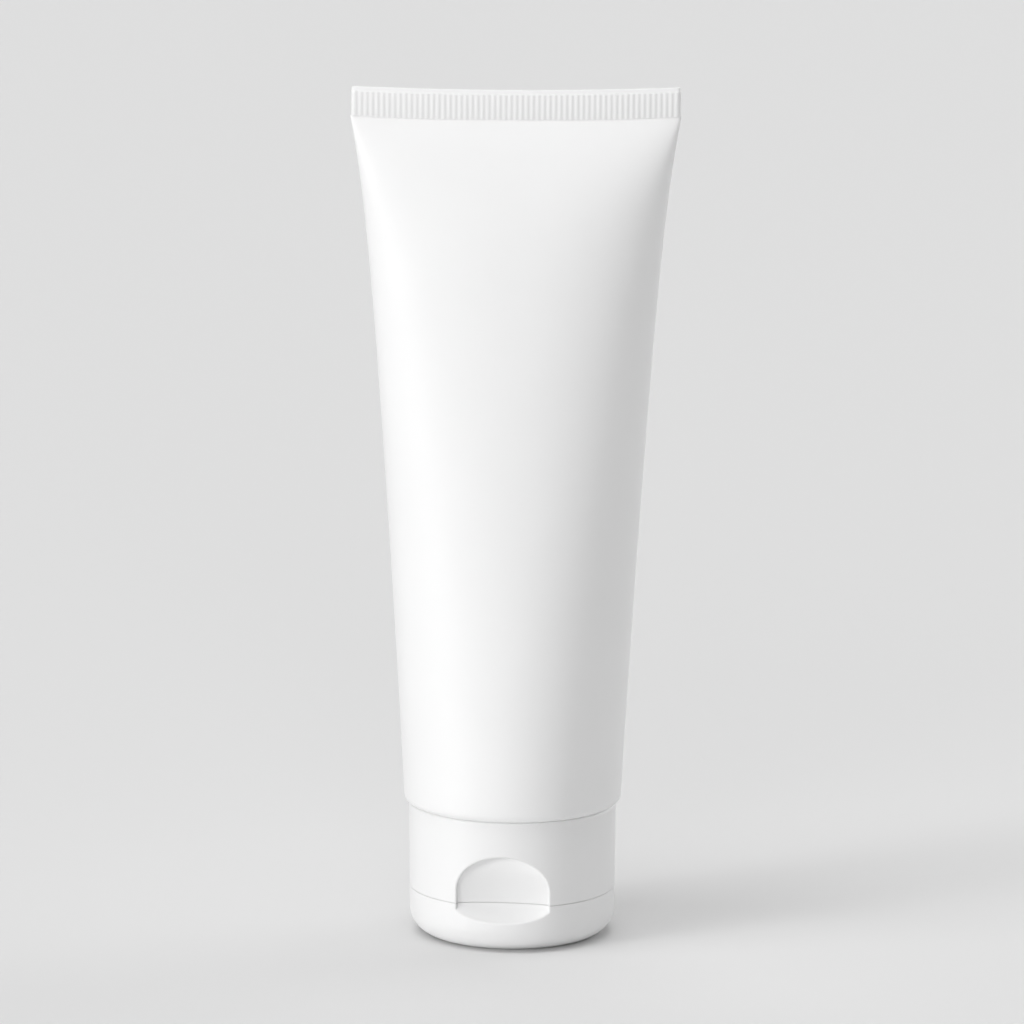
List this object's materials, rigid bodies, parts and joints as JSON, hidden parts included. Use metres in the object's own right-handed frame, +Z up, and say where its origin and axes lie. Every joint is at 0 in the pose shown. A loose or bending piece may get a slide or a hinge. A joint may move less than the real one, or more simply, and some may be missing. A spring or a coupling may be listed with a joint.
{
  "type": "face scrub tube",
  "caption": "Squeeze tube for face scrub that stands on a round flip-top cap with a thumb notch, and widens upward to a flat, ribbed seal.",
  "frame": {"origin": "centre of the overall box at the level of the foot, where the closed lid rests on the table", "axes": "+Z up along the tube from the cap to the seal, X along the flat seal, the thumb notch faces -Y and the lid's hinge is at +Y, both turned by 6 degrees about Z because the cap sits a little out of line with the seal"},
  "size_m": [0.0604, 0.04, 0.158],
  "materials": {
    "sleeve_film": "satin white polyethylene film",
    "head_plastic": "white moulded polyethylene",
    "scrub": "soft grainy cream",
    "cap_plastic": "satin white moulded polypropylene"
  },
  "bodies": {
    "tube": {"tube_sleeve": "sleeve_film", "tube_head": "head_plastic", "scrub_filling": "scrub", "cap_base": "cap_plastic", "living_hinge": "cap_plastic"},
    "lid": {"cap_lid": "cap_plastic"}
  },
  "joints": [
    {"name": "lid_hinge", "type": "hinge", "parent": "tube", "child": "lid", "pos_m": [0.002, 0.01903, 0.00885], "axis": [0.9945, -0.1045, 0], "range_deg": [0, 180], "deforming": ["living_hinge"]}
  ]
}
